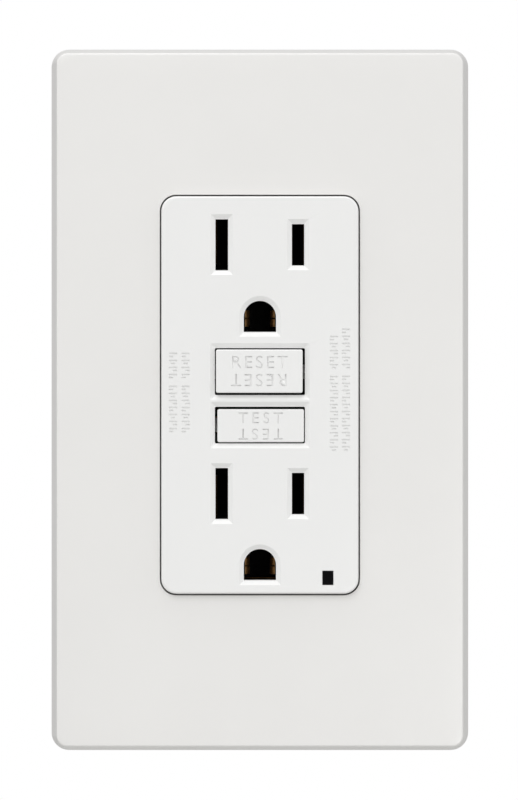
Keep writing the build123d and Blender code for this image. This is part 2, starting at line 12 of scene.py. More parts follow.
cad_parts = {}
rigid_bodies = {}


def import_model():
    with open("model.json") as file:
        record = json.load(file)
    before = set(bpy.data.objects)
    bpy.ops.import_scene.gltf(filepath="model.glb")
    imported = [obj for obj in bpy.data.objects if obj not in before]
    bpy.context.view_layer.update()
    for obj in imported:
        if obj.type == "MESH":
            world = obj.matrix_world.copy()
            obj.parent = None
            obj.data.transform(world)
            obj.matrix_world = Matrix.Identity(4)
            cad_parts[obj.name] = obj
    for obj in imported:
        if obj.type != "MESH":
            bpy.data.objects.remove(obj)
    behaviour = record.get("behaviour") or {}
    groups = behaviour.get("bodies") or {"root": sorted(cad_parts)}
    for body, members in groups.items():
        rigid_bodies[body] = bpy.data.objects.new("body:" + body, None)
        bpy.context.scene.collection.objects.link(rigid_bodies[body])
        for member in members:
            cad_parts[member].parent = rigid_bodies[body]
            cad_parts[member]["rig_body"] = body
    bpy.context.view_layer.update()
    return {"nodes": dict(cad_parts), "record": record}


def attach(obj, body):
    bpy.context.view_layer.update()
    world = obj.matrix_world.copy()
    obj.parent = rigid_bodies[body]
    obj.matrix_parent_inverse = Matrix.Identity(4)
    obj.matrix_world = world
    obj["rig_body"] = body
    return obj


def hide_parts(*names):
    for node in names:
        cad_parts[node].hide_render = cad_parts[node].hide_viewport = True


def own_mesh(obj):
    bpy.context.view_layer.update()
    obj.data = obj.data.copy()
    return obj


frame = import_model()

MM = 0.001
MERGE_MM = 1e-4
CAD_MERGE_MM = 1e-3
FLAT_DEGREES = 1.5
EDGE_DEGREES = 40
SHARP_DEGREES = 32
LOG = logging.getLogger("outlet")
Pair = tuple[float, float]
Triple = tuple[float, float, float]
Section = tuple["Outline", float]
Loop = list[bmesh.types.BMEdge]
Socket = bpy.types.NodeSocket


# ---------------------------------------------------------------- colours and nodes
def linear(hex_colour: str) -> tuple[float, float, float, float]:
    """Turns an sRGB hex colour into the linear values that shaders take.

    Args:
        hex_colour: colour such as "#E6E6E4".

    Returns:
        Red, green, blue and alpha in linear light.
    """
    parts = [int(hex_colour[i:i + 2], 16) / 255 for i in (1, 3, 5)]
    red, green, blue = [p / 12.92 if p <= 0.04045 else ((p + 0.055) / 1.055) ** 2.4 for p in parts]
    return red, green, blue, 1.0


def per_mm(size: float) -> float:
    """Texture scale at which one feature is that many millimetres across."""
    return 1.0 / (size * MM)


def add_node(tree: bpy.types.NodeTree, kind: str, inputs: dict | None = None, **settings: object) -> bpy.types.Node:
    """Adds one node with its settings, and fills or links its inputs.

    Args:
        tree: node tree that takes the node.
        kind: type name of the node.
        inputs: values or output sockets by input name or index.
        settings: attributes of the node.

    Returns:
        The new node.
    """
    node = tree.nodes.new(kind)
    for key, value in settings.items():
        setattr(node, key, value)
    for key, value in (inputs or {}).items():
        if isinstance(value, bpy.types.NodeSocket):
            tree.links.new(value, node.inputs[key])
        else:
            node.inputs[key].default_value = value
    return node


class Coat:
    """The node tree of one material under construction."""

    def __init__(self, name: str) -> None:
        """Starts with a plain shader and the object's own coordinates.

        Args:
            name: name of the material.
        """
        self.material = bpy.data.materials.new(name)
        self.material.use_nodes = True
        self.tree = self.material.node_tree
        self.shader = self.tree.nodes["Principled BSDF"]
        self.place = add_node(self.tree, "ShaderNodeTexCoord").outputs["Object"]

    def noise(self, size: float, detail: float, place: Socket | None = None) -> Socket:
        """Adds soft noise, with features of that size in millimetres and that many finer layers."""
        inputs = {"Vector": self.place if place is None else place, "Scale": per_mm(size), "Detail": detail}
        return add_node(self.tree, "ShaderNodeTexNoise", inputs).outputs[0]

    def connect(self, node: bpy.types.Node, output: int, name: str) -> None:
        """Links a node's output to the surface shader's input of that name."""
        self.tree.links.new(node.outputs[output], self.shader.inputs[name])


# ---------------------------------------------------------------- finishes
@dataclass(frozen=True)
class Finish:
    """What every finish has: a name, two colours that its pattern moves between, and how it shines."""

    name: str
    colour: str
    second_colour: str
    roughness: float
    grain_mm: float = 0.4
    depth_mm: float = 0.004
    metallic: float = 0.0
    ior: float = 1.5
    spread: float = 0.08

    def material(self) -> bpy.types.Material:
        """Makes the material once, and hands back the same one after that.

        Returns:
            The node material of this finish.
        """
        found = bpy.data.materials.get(self.name)
        if found:
            return found
        coat = Coat(self.name)
        coat.shader.inputs["Metallic"].default_value = self.metallic
        if not self.metallic:
            coat.shader.inputs["IOR"].default_value = self.ior
        tone, shine, height = self.pattern(coat)
        colours = {"Factor": tone, 6: linear(self.colour), 7: linear(self.second_colour)}
        coat.connect(add_node(coat.tree, "ShaderNodeMix", colours, data_type="RGBA"), 2, "Base Color")
        ends = {"Value": shine, "To Min": self.roughness - self.spread, "To Max": self.roughness + self.spread}
        coat.connect(add_node(coat.tree, "ShaderNodeMapRange", ends), 0, "Roughness")
        relief = {"Height": height, "Distance": self.depth_mm * MM}
        coat.connect(add_node(coat.tree, "ShaderNodeBump", relief), 0, "Normal")
        return coat.material

    def pattern(self, coat: Coat) -> tuple[Socket, Socket, Socket]:
        """Lays out the patterns of the tone, the shine and the height. Each kind of finish has its own."""
        raise NotImplementedError


@dataclass(frozen=True)
class MouldedPlastic(Finish):
    """Injection-moulded thermoplastic from a lightly spark-eroded tool.

    The eye sees an even colour with the faintest clouding, and a soft broad shine that a fine
    orange-peel grain breaks up.
    """

    cloud_mm: float = 14.0

    def pattern(self, coat: Coat) -> tuple[Socket, Socket, Socket]:
        """Clouds the colour slowly, and roughens the shine with fine grain.

        Args:
            coat: the material being made.

        Returns:
            Patterns of the tone, the shine and the height.
        """
        cloud = coat.noise(self.cloud_mm, 3.0)
        grain = coat.noise(self.grain_mm, 4.0)
        return cloud, grain, grain


@dataclass(frozen=True)
class RolledMetal(Finish):
    """Metal sheet or wire, rolled or drawn, then plated, dyed or left bright.

    The eye sees fine lines along the rolling direction, and patches where the plating took a
    slightly different tone.
    """

    spread: float = 0.1
    patch_mm: float = 3.0
    stretch: Triple = (1.0, 1.0, 0.06)

    def pattern(self, coat: Coat) -> tuple[Socket, Socket, Socket]:
        """Draws rolling lines by stretching a fine noise, over slow patches of tone.

        Args:
            coat: the material being made.

        Returns:
            Patterns of the tone, the shine and the height.
        """
        stretched = add_node(coat.tree, "ShaderNodeMapping", {"Vector": coat.place, "Scale": self.stretch})
        lines = coat.noise(self.grain_mm, 3.0, stretched.outputs[0])
        return coat.noise(self.patch_mm, 4.0), lines, lines


@dataclass(frozen=True)
class WoundWire(Finish):
    """Enamelled copper wire wound in close turns.

    The eye sees glossy reddish ridges a wire's width apart, with thin dark lines of painted shade in the grooves
    between them.
    """

    spread: float = 0.05
    direction: str = "Z"

    def pattern(self, coat: Coat) -> tuple[Socket, Socket, Socket]:
        """Rounds each turn with a wave whose period is the wire's width; the wave also darkens the grooves as painted
        shade.

        Args:
            coat: the material being made.

        Returns:
            Patterns of the tone, the shine and the height.
        """
        bands = {"Vector": coat.place, "Scale": per_mm(self.grain_mm) / 20, "Distortion": 0.4, "Detail": 1.0}
        turns = add_node(coat.tree, "ShaderNodeTexWave", bands, bands_direction=self.direction).outputs[1]
        return turns, turns, turns


@dataclass(frozen=True)
class PressedPowder(Finish):
    """Sintered ferrite or lacquered ceramic: powder pressed and fired.

    The eye sees a dull surface of tiny grains, some lighter than others.
    """

    spread: float = 0.06

    def pattern(self, coat: Coat) -> tuple[Socket, Socket, Socket]:
        """Covers the surface with small cells, each with a tone of its own."""
        cells = add_node(coat.tree, "ShaderNodeTexVoronoi", {"Vector": coat.place, "Scale": per_mm(self.grain_mm)})
        return cells.outputs["Color"], cells.outputs["Distance"], cells.outputs["Distance"]


@dataclass(frozen=True)
class CoatedBoard(Finish):
    """Glass-fibre laminate with etched copper under a green solder mask.

    The eye sees lighter green lanes where copper runs under the mask, darker lines between them,
    and a fine weave in the gloss.
    """

    lane_mm: float = 1.6

    def pattern(self, coat: Coat) -> tuple[Socket, Socket, Socket]:
        """Lays out the copper lanes with large square cells, and the weave with fine noise.

        Args:
            coat: the material being made.

        Returns:
            Patterns of the tone, the shine and the height.
        """
        lanes = add_node(coat.tree, "ShaderNodeTexVoronoi", {
            "Vector": coat.place, "Scale": per_mm(self.lane_mm)}, feature="F1", distance="MANHATTAN")
        edge = add_node(coat.tree, "ShaderNodeMapRange", {
            "Value": lanes.outputs["Distance"], "From Min": 0.45, "From Max": 0.55}).outputs[0]
        return edge, coat.noise(self.grain_mm, 2.0), edge


# Polycarbonate in the plate and the face: bright, neutral white with a soft satin shine.
PLATE_WHITE = MouldedPlastic("satin_white_polycarbonate_plate", "#E3E2E0", "#E7E6E4", 0.38, 0.35, 0.003, ior=1.586)
FACE_WHITE = MouldedPlastic("satin_white_polycarbonate_face", "#E8E8E7", "#EBEBEA", 0.34, 0.3, 0.002, ior=1.586)
# Glass-filled nylon in the inner frame: a duller, slightly warmer white.
FRAME_WHITE = MouldedPlastic("matt_white_nylon", "#DAD9D3", "#E0DFDA", 0.55, 0.5, 0.006, ior=1.53)
# Thermoset or polyester in the hidden mouldings: dark and dull mouldings whose near-black colour also stands in for
# the shade inside the openings, as painted shade.
HOUSING_SHADE_GREY = MouldedPlastic("dark_grey_polyester_as_painted_shade", "#2B2D30", "#33363A", 0.5, 0.45, 0.008, ior=1.57)
SEPARATOR_SHADE_BLACK = MouldedPlastic("black_polyester_as_painted_shade", "#0B0B0C", "#101012", 0.6, 0.45, 0.008, ior=1.57)
# Acetal that slides against its neighbours: black with a waxy, fairly even shine.
CARRIAGE_BLACK = MouldedPlastic("black_acetal", "#131315", "#1B1B1E", 0.35, 0.4, 0.004, ior=1.48)
# Unfilled nylon, undyed: a warm cream that looks slightly milky.
BOBBIN_NATURAL = MouldedPlastic("natural_nylon", "#D8D0B6", "#E2DBC4", 0.45, 0.4, 0.004, ior=1.53)
# Chip package, moulded in a blasted tool: flat black with a fine sandy surface.
CHIP_BLACK = MouldedPlastic("black_moulding_compound", "#121213", "#1A1A1B", 0.6, 0.15, 0.004)
# Epoxy from a dip: saturated blue, glossy and faintly wavy.
VARISTOR_BLUE = MouldedPlastic("blue_dipped_epoxy", "#1F4C8E", "#2A5AA0", 0.3, 0.8, 0.01)
# Clear acrylic, polished in the tool, painted nearly black to stand in for the shade of the body behind it: painted
# shade, with one sharp reflection.
LENS_SHADE_BLACK = MouldedPlastic("clear_acrylic_darkened_as_painted_shade", "#030304", "#060607", 0.06, 0.6, 0.001, ior=1.49)
# Cast resin: even green, as smooth as glass.
LED_GREEN = MouldedPlastic("green_tinted_resin", "#3FA56A", "#55B97E", 0.2, 0.9, 0.002, ior=1.54)
# Zinc plate over steel: cool grey with faint straw and blue patches.
ZINC = RolledMetal("bright_zinc_plated_steel", "#B9BDC1", "#C9C6BC", 0.32, 0.12, 0.003, 1.0)
# Nickel plate on a turned part: warmer and brighter than zinc, with fine turning lines.
NICKEL = RolledMetal("nickel_plated_steel", "#C2BFB8", "#B3AFA6", 0.24, 0.1, 0.002, 1.0)
# Drawn wire and strip, tempered in oil: darker grey with a dull gleam.
SPRING_STEEL = RolledMetal("oil_tempered_spring_steel", "#7C7E82", "#6B6C70", 0.35, 0.1, 0.003, 1.0)
# Half-hard brass strip: yellow with browner handled patches.
BRASS = RolledMetal("rolled_brass_strip", "#C9A15C", "#A97F45", 0.33, 0.12, 0.003, 1.0)
# The same strip inside the body, painted dark brown to stand in for the shade that falls inside the body: painted
# shade.
SHADED_BRASS = RolledMetal("brass_strip_darkened_as_painted_shade", "#66503A", "#4F3C28", 0.42, 0.12, 0.003, 1.0)
# The ground contacts, nearer the openings, are painted less dark, so they show as brown-gold edges: painted shade.
CLIP_SHADED_BRASS = RolledMetal("brass_clip_darkened_as_painted_shade", "#A17C50", "#86643F", 0.4, 0.12, 0.003, 1.0)
# Rolled and age-hardened strip: salmon pink with straight rolling lines.
COPPER_ALLOY = RolledMetal("beryllium_copper_strip", "#C98B62", "#B5764F", 0.3, 0.12, 0.002, 1.0)
# Coined rivet heads: near white, with a soft blurred mirror.
SILVER = RolledMetal("silver_alloy_contact", "#D9D8D3", "#C6C4BC", 0.22, 0.3, 0.002, 1.0)
# Zinc plate with a green dye: metal that reflects green, deeper in patches.
GREEN_DYE = RolledMetal("green_dyed_zinc_plate", "#2E7D4B", "#256A3E", 0.3, 0.15, 0.002, 1.0)
# Drawn can under a thin sleeve: slate grey with a faint sheen along its length.
CAN = RolledMetal("sleeved_aluminium_can", "#5B6067", "#50555B", 0.35, 0.3, 0.002, 1.0)
# Close turns of lacquered wire: red-brown ridges with painted shade as dark lines between.
MAGNET_WIRE = WoundWire("enamelled_copper_wire", "#3A1B0E", "#B4613A", 0.28, 0.34, 0.05, 0.6)
# Fired ferrite: charcoal grey, dull and speckled.
FERRITE = PressedPowder("sintered_ferrite", "#232426", "#35373A", 0.7, 0.2, 0.01)
# Lacquer over fired ceramic: tan, slightly mottled, half glossy.
RESISTOR = PressedPowder("lacquered_ceramic", "#C9B48A", "#D6C49C", 0.4, 0.5, 0.004)
# Solder mask over etched copper: dark green with lighter lanes.
BOARD = CoatedBoard("green_coated_laminate", "#1C5A34", "#124427", 0.32, 0.25, 0.02)

FINISH_BY_SLOT = {
    "plate_plastic": PLATE_WHITE, "frame_plastic": FRAME_WHITE, "face_plastic": FACE_WHITE,
    "painted_screw": NICKEL, "lens": LENS_SHADE_BLACK, "zinc_steel": ZINC, "brass": BRASS,
    "copper_arm": COPPER_ALLOY, "silver_pad": SILVER, "green_screw": GREEN_DYE,
    "separator_plastic": SEPARATOR_SHADE_BLACK, "housing_plastic": HOUSING_SHADE_GREY,
    "carriage_plastic": CARRIAGE_BLACK, "spring_steel": SPRING_STEEL, "plunger_steel": NICKEL,
    "bobbin_plastic": BOBBIN_NATURAL, "magnet_wire": MAGNET_WIRE, "ferrite": FERRITE, "board": BOARD,
    "chip_plastic": CHIP_BLACK, "varistor_coat": VARISTOR_BLUE, "capacitor_can": CAN,
    "resistor_body": RESISTOR, "led_resin": LED_GREEN,
}
# Contact brass painted darker to stand in for the shade inside the body: painted shade.
FINISH_BY_NODE = {
    "ground_contact_upper": CLIP_SHADED_BRASS, "ground_contact_lower": CLIP_SHADED_BRASS,
    "hot_contact_bar": SHADED_BRASS, "neutral_contact_bar": SHADED_BRASS,
}
SLOT_BY_NODE = {part["node"]: part["material_slot"] for part in frame["record"]["subparts"]}


# ---------------------------------------------------------------- outlines and meshes, in millimetres
@dataclass(frozen=True)
class Outline:
    """A rectangle in X and Z with rounded corners. The two upper corners may have a radius of their own."""

    width: float
    height: float
    radius: float
    x: float = 0.0
    z: float = 0.0
    top_radius: float | None = None
    steps: int = 6

    def grown(self, by: float) -> "Outline":
        """Moves the outline outwards all round.

        Args:
            by: how far, or inwards if negative.

        Returns:
            The moved outline.
        """
        top = None if self.top_radius is None else max(self.top_radius + by, 0.01)
        return replace(self, width=self.width + 2 * by, height=self.height + 2 * by,
                       radius=max(self.radius + by, 0.01), top_radius=top)

    def mitred(self, by: float) -> "Outline":
        """Moves the outline outwards, with its corners kept as sharp as they were."""
        return replace(self.grown(by), radius=self.radius)

    def corners(self) -> list[tuple[float, float, float, float]]:
        """Finds the corners, anticlockwise from the upper right.

        Returns:
            Centre x, centre z, radius and start angle of each.
        """
        top = self.radius if self.top_radius is None else self.top_radius
        found = []
        for turn, (sx, sz) in enumerate(((1, 1), (-1, 1), (-1, -1), (1, -1))):
            r = top if sz > 0 else self.radius
            centre_x = self.x + sx * (self.width / 2 - r)
            centre_z = self.z + sz * (self.height / 2 - r)
            found.append((centre_x, centre_z, r, turn * math.pi / 2))
        return found


def disc(radius: float, x: float = 0.0, z: float = 0.0) -> Outline:
    """A round outline."""
    return Outline(2 * radius, 2 * radius, radius, x, z, steps=8)


def quarter(steps: int) -> list[Pair]:
    """Divides a quarter circle into facets.

    Args:
        steps: number of facets.

    Returns:
        One minus the cosine and one minus the sine of each angle.
    """
    angles = [math.pi / 2 * k / steps for k in range(steps + 1)]
    return [(1 - math.cos(angle), 1 - math.sin(angle)) for angle in angles]


def outer_round(outline: Outline, face: float, radius: float, steps: int = 4) -> list[Section]:
    """Rolls from a side wall over a rounded edge onto a flat face.

    Args:
        outline: outline of the wall.
        face: depth of the face.
        radius: radius of the edge.
        steps: facets in the edge.

    Returns:
        Outlines with their depths, from the wall to the face.
    """
    return [(outline.grown(-radius * a), face + radius * b) for a, b in quarter(steps)]


def hole_round(outline: Outline, face: float, radius: float, steps: int = 3) -> list[Section]:
    """Rolls from a flat face over a rounded edge into a hole.

    Args:
        outline: outline of the hole's wall.
        face: depth of the face.
        radius: radius of the edge.
        steps: facets in the edge.

    Returns:
        Outlines with their depths, from the face to the wall.
    """
    return [(outline.grown(radius * b), face + radius * a) for a, b in quarter(steps)]


class Mesh:
    """One piece under construction, in millimetres."""

    def __init__(self) -> None:
        """Starts with nothing."""
        self.bm = bmesh.new()

    def ring(self, outline: Outline, y: float) -> Loop:
        """Lays a closed outline at one depth. Each corner is a vertex spun through a quarter turn.

        Args:
            outline: the outline.
            y: its depth.

        Returns:
            The edges of the loop.
        """
        edges, first, last = [], None, None
        for centre_x, centre_z, r, start in outline.corners():
            vert = self.bm.verts.new((centre_x + r * math.cos(start), y, centre_z + r * math.sin(start)))
            bmesh.ops.spin(self.bm, geom=[vert], cent=(centre_x, y, centre_z), axis=(0, -1, 0),
                           angle=math.pi / 2, steps=outline.steps, use_merge=False)
            if last:
                edges.append(self.bm.edges.new((last, vert)))
            first = first or vert
            came_from = None
            for _ in range(outline.steps):
                edge = next(e for e in vert.link_edges if e is not came_from and e not in edges)
                edges.append(edge)
                came_from = edge
                vert = edge.other_vert(vert)
            last = vert
        edges.append(self.bm.edges.new((last, first)))
        return edges

    def skin(self, sections: list[Section]) -> list[Loop]:
        """Joins a run of outlines, each to the next: bridged in general, and filled where both lie in one plane.

        Args:
            sections: outlines with their depths.

        Returns:
            The loops of the first and the last outline.
        """
        rings = [(self.ring(outline, y), y) for outline, y in sections]
        for (near, near_y), (far, far_y) in zip(rings, rings[1:]):
            if near_y == far_y:
                self.fill(near, far)
            else:
                bmesh.ops.bridge_loops(self.bm, edges=near + far)
        return [rings[0][0], rings[-1][0]]

    def fill(self, *loops: Loop) -> None:
        """Fills a flat area between its outer loop and the loops of its holes."""
        edges = [e for loop in loops for e in loop]
        bmesh.ops.triangle_fill(self.bm, use_beauty=True, edges=edges, normal=(0, -1, 0))

    def solid(self, sections: list[Section]) -> None:
        """Skins the sections and closes both ends.

        Args:
            sections: outlines with their depths.
        """
        near, far = self.skin(sections)
        self.fill(near)
        self.fill(far)

    def block(self, x: Pair, y: Pair, z: Pair, edge: float = 0.15) -> None:
        """Adds a box with rounded edges.

        Args:
            x: lowest and highest x.
            y: lowest and highest y.
            z: lowest and highest z.
            edge: radius of its edges.
        """
        size = [b - a for a, b in (x, y, z)]
        middle = [(a + b) / 2 for a, b in (x, y, z)]
        made = bmesh.ops.create_cube(self.bm, size=1.0)
        bmesh.ops.scale(self.bm, vec=size, verts=made["verts"])
        bmesh.ops.translate(self.bm, vec=middle, verts=made["verts"])
        edges = {e for v in made["verts"] for e in v.link_edges}
        bmesh.ops.bevel(self.bm, geom=list(edges), offset=edge, offset_type="OFFSET", segments=2,
                        profile=0.5, affect="EDGES", material=-1)

    def twin_blocks(self, x: Pair, y: Pair, z: Pair, edge: float = 0.15) -> None:
        """Adds the same block on the right, where x is given, and mirrored on the left."""
        self.block((-x[1], -x[0]), y, z, edge)
        self.block(x, y, z, edge)

    def strip(self, path: tuple[Pair, ...], thick: float, z0: float, z1: float) -> None:
        """Adds a bent strip: a line in X and Y, drawn out along Z and given a thickness.

        Args:
            path: points of its middle line.
            thick: its thickness.
            z0: its lower edge.
            z1: its upper edge.
        """
        before = set(self.bm.faces)
        verts = [self.bm.verts.new((x, y, z0)) for x, y in path]
        edges = [self.bm.edges.new(pair) for pair in zip(verts, verts[1:])]
        drawn = bmesh.ops.extrude_edge_only(self.bm, edges=edges)
        moved = [g for g in drawn["geom"] if isinstance(g, bmesh.types.BMVert)]
        bmesh.ops.translate(self.bm, vec=(0, 0, z1 - z0), verts=moved)
        faces = [f for f in self.bm.faces if f not in before]
        bmesh.ops.recalc_face_normals(self.bm, faces=faces)
        bmesh.ops.solidify(self.bm, geom=faces, thickness=thick)
        faces = [f for f in self.bm.faces if f not in before]
        sharp = {e for f in faces for e in f.edges if e.is_manifold and e.calc_face_angle() > math.radians(60)}
        bmesh.ops.bevel(self.bm, geom=list(sharp), offset=0.08, offset_type="OFFSET", segments=2,
                        profile=0.5, affect="EDGES", clamp_overlap=True, material=-1)

    def thread(self, radius: float, depth: float, pitch: float, y0: float, y1: float) -> None:
        """Adds a threaded rod along Y, by spinning one tooth along a screw line.

        Args:
            radius: radius over the crests.
            depth: height of a tooth.
            pitch: distance from one crest to the next.
            y0: where the rod starts.
            y1: where it ends.
        """
        facets = 20
        turns = math.ceil((y1 - y0) / pitch) + 2
        start = y0 - 1.01 * pitch
        tooth = ((radius - depth, 0.0), (radius, 0.42), (radius, 0.5), (radius - depth, 0.92), (radius - depth, 1.0))
        verts = [self.bm.verts.new((r, start + share * pitch, 0)) for r, share in tooth]
        edges = [self.bm.edges.new(pair) for pair in zip(verts, verts[1:])]
        bmesh.ops.spin(self.bm, geom=verts + edges, cent=(0, 0, 0), axis=(0, 1, 0), dvec=(0, pitch / facets, 0),
                       angle=2 * math.pi * turns, steps=facets * turns, use_merge=False)
        bmesh.ops.remove_doubles(self.bm, verts=self.bm.verts, dist=MERGE_MM)
        for y, normal in ((y0, (0, -1, 0)), (y1, (0, 1, 0))):
            geom = list(self.bm.verts) + list(self.bm.edges) + list(self.bm.faces)
            cut = bmesh.ops.bisect_plane(self.bm, geom=geom, plane_co=(0, y, 0), plane_no=normal, clear_outer=True)
            rim = [g for g in cut["geom_cut"] if isinstance(g, bmesh.types.BMEdge)]
            bmesh.ops.triangle_fill(self.bm, use_beauty=True, edges=rim, normal=normal)

    def coil(self, radius: float, wire: float, z0: float, z1: float, turns: float) -> None:
        """Adds a round-wire coil along Z, by spinning a circle along a screw line.

        Args:
            radius: radius of the coil's centreline.
            wire: radius of the wire.
            z0: start of the centreline.
            z1: its end.
            turns: number of turns.
        """
        steps = int(24 * turns)
        turned = Matrix.Translation((radius, 0, z0)) @ Matrix.Rotation(math.pi / 2, 4, "X")
        made = bmesh.ops.create_circle(self.bm, cap_ends=False, radius=wire, segments=10, matrix=turned)
        edges = list({e for v in made["verts"] for e in v.link_edges})
        spun = bmesh.ops.spin(self.bm, geom=made["verts"] + edges, cent=(0, 0, 0), axis=(0, 0, 1),
                              dvec=(0, 0, (z1 - z0) / steps), angle=2 * math.pi * turns, steps=steps, use_merge=False)
        ends = (edges, [g for g in spun["geom_last"] if isinstance(g, bmesh.types.BMEdge)])
        for rim in ends:
            bmesh.ops.edgeloop_fill(self.bm, edges=rim)

    def move(self, matrix: Matrix) -> "Mesh":
        """Turns or moves everything made so far, and hands the mesh back."""
        bmesh.ops.transform(self.bm, matrix=matrix, verts=self.bm.verts)
        return self

    def finished(self, name: str) -> bpy.types.Mesh:
        """Closes the mesh, turns its faces outwards and brings it to metres.

        Args:
            name: name of the mesh.

        Returns:
            The mesh, in metres.
        """
        bmesh.ops.remove_doubles(self.bm, verts=self.bm.verts, dist=MERGE_MM)
        bmesh.ops.recalc_face_normals(self.bm, faces=self.bm.faces)
        bmesh.ops.scale(self.bm, vec=(MM, MM, MM), verts=self.bm.verts)
        mesh = bpy.data.meshes.new(name)
        self.bm.to_mesh(mesh)
        self.bm.free()
        return mesh

    def piece(self, name: str, *nodes: str) -> bpy.types.Object:
        """Hands the finished mesh over in place of CAD nodes. The first node gives its body and its finish."""
        return hand_over(name, self.finished(name), *nodes)


def stand(name: str, data: bpy.types.ID) -> bpy.types.Object:
    """Makes an object of a mesh, light or camera, and puts it in the scene.

    Args:
        name: name of the object.
        data: what it shows.

    Returns:
        The object.
    """
    made = bpy.data.objects.new(name, data)
    bpy.context.scene.collection.objects.link(made)
    return made


def shade(shown: bpy.types.Object) -> None:
    """Shades an object smooth across its rounded edges, and flat on its large faces.

    Args:
        shown: the object.
    """
    shown.data.shade_smooth()
    shown.data.set_sharp_from_angle(angle=math.radians(SHARP_DEGREES))
    flatten = shown.modifiers.new("weighted normals", "WEIGHTED_NORMAL")
    flatten.keep_sharp = True


def hand_over(name: str, mesh: bpy.types.Mesh, *nodes: str) -> bpy.types.Object:
    """Makes an object of a mesh, shades it, and ties it to the frame.

    Args:
        name: name of the piece.
        mesh: its mesh, in metres.
        nodes: the CAD nodes that it stands for.

    Returns:
        The object.
    """
    made = stand(name, mesh)
    shade(made)
    slot = SLOT_BY_NODE[nodes[0]]
    finish = FINISH_BY_NODE.get(nodes[0], FINISH_BY_SLOT[slot])
    mesh.materials.append(finish.material())
    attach(made, frame["nodes"][nodes[0]]["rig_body"])
    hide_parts(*nodes)
    LOG.info("%s: %d faces", name, len(mesh.polygons))
    return made


def softened(node: str, edge: float) -> bpy.types.Object:
    """Copies a CAD node, merges its triangles and rounds its sharp edges, as tumbling or moulding does.

    Args:
        node: name of the CAD node.
        edge: radius of the edges, in millimetres.

    Returns:
        The piece that stands for the node.
    """
    bm = bmesh.new()
    bm.from_mesh(frame["nodes"][node].data)
    bmesh.ops.remove_doubles(bm, verts=bm.verts, dist=CAD_MERGE_MM * MM)
    bmesh.ops.dissolve_limit(bm, angle_limit=math.radians(FLAT_DEGREES), verts=bm.verts, edges=bm.edges)
    sharp = [e for e in bm.edges if e.is_manifold and e.calc_face_angle() > math.radians(EDGE_DEGREES)]
    bmesh.ops.bevel(bm, geom=sharp, offset=edge * MM, offset_type="OFFSET", segments=2,
                    profile=0.5, affect="EDGES", clamp_overlap=True, material=-1)
    mesh = bpy.data.meshes.new(node)
    bm.to_mesh(mesh)
    bm.free()
    return hand_over(node + "_rounded", mesh, node)


def cut_by(body: bpy.types.Object, tool: bpy.types.Mesh) -> None:
    """Engraves a tool mesh into a piece.

    Args:
        body: piece that is cut.
        tool: closed mesh of what is taken away, in metres.
    """
    cutter = stand("engraver", tool)
    change = body.modifiers.new("engrave", "BOOLEAN")
    change.operation = "DIFFERENCE"
    change.solver = "EXACT"
    change.object = cutter
    body.modifiers.move(len(body.modifiers) - 1, 0)
    shown = body.evaluated_get(bpy.context.evaluated_depsgraph_get())
    cut = bpy.data.meshes.new_from_object(shown)
    body.modifiers.clear()
    old, body.data = body.data, cut
    bpy.data.meshes.remove(old)
    bpy.data.objects.remove(cutter)
    shade(body)


# ---------------------------------------------------------------- screws
class Drive(Enum):
    """What the driver turns."""

    SLOT = "slot"
    CROSS = "cross"


@dataclass
class Screw:
    """A machine screw that points along +Y, with the top of its head at y = 0."""

    shank: float
    length: float
    head: float
    head_height: float
    drive: Drive = Drive.CROSS
    pitch: float = 0.794
    countersunk: bool = False
    neck: float = 0.0

    def build(self) -> Mesh:
        """Builds the head with its drive, and the threaded shank.

        Returns:
            The mesh, in millimetres.
        """
        mesh = Mesh()
        tooth = 0.45 * self.pitch
        mesh.thread(self.shank, tooth, self.pitch, self.head_height + self.neck - 0.3, self.length)
        if self.neck:
            plain = disc(self.shank - tooth + 0.05)
            mesh.solid([(plain, self.head_height - 0.2), (plain, self.head_height + self.neck)])
        wide = disc(self.head)
        rim = 0.3 * self.head_height
        if self.countersunk:
            under = [(disc(self.shank), self.head_height), (wide, rim)]
        else:
            under = [(disc(self.shank * 0.7), self.head_height), (disc(self.head - 0.1), self.head_height),
                     (wide, self.head_height - 0.1)]
        top = outer_round(wide, 0.0, 0.28 * self.head_height)
        near, far = mesh.skin(under + top)
        mesh.fill(near)
        mesh.fill(far, self.recess(mesh))
        return mesh

    def recess(self, mesh: Mesh) -> Loop:
        """Sinks the drive into the head's top.

        Args:
            mesh: the screw.

        Returns:
            The recess's outline on the head's top.
        """
        half, reach = 0.16 * self.head, 0.62 * self.head
        rim = self.plus(mesh, half, reach, 0.0)
        foot = self.plus(mesh, half, reach - 0.06 * self.head, 0.55 * self.head_height)
        bmesh.ops.bridge_loops(mesh.bm, edges=rim + foot)
        mesh.fill(foot)
        return rim

    def plus(self, mesh: Mesh, half: float, reach: float, y: float) -> Loop:
        """Draws the outline of the drive, a slot or a cross.

        Args:
            mesh: the screw.
            half: half the width of the slot, or of each arm.
            reach: how far the drive reaches from the middle.
            y: its depth.

        Returns:
            The edges of the outline.
        """
        if self.drive is Drive.SLOT:
            return mesh.ring(Outline(2.6 * reach, 2 * half, 0.05, steps=2), y)
        arms = ((reach, half), (half, half), (half, reach))
        points = []
        for turn in range(4):
            c, s = round(math.cos(turn * math.pi / 2)), round(math.sin(turn * math.pi / 2))
            points += [(c * x - s * z, s * x + c * z) for x, z in arms]
        verts = [mesh.bm.verts.new((x, y, z)) for x, z in points]
        return [mesh.bm.edges.new(pair) for pair in zip(verts, verts[1:] + verts[:1])]


